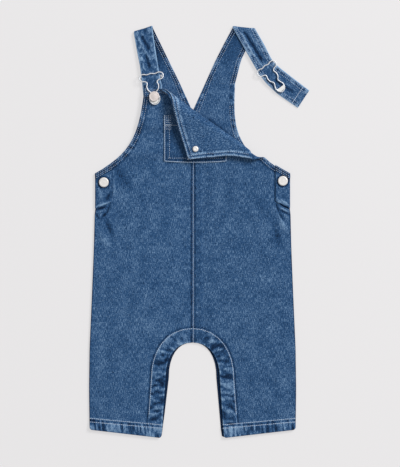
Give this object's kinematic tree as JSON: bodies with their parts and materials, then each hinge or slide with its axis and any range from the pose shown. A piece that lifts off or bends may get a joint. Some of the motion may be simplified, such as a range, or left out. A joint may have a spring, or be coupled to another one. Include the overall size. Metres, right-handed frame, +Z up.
{
  "type": "kids dungarees",
  "caption": "Baby's denim dungarees laid flat, with wire strap hooks, a patch pocket, side tabs and a bib corner rolled down over the front.",
  "frame": {"origin": "middle of the laid garment's outline, on the surface it lies on", "axes": "+Y from the hems to the straps, +Z up out of the front, +X to the wearer's left"},
  "size_m": [0.2635, 0.4955, 0.0226],
  "materials": {
    "denim": "washed mid-blue cotton denim, matt, fine slub, pale worn edges and pale blue topstitching",
    "denim_inside": "the same washed denim, right side out, inside the bib",
    "nickel": "nickel-plated wire and stamped buttons, softly bright",
    "cap": "smooth pale silvery button caps"
  },
  "bodies": {
    "root": {"front_right": "denim", "front_left": "denim", "back_right": "denim", "back_left": "denim", "strap_right": "denim", "strap_left": "denim", "chest_pocket": "denim", "side_tab_right": "denim", "side_tab_left": "denim", "bib_facing": "denim_inside", "hook_right": "nickel", "hook_left": "nickel", "hook_bar_right": "nickel", "hook_bar_left": "nickel", "hook_plate_right": "nickel", "hook_plate_left": "nickel", "bib_button_right": "nickel", "bib_button_left": "nickel", "bib_stud_left": "nickel", "side_button_right": "cap", "side_button_left": "cap"}
  },
  "joints": []
}
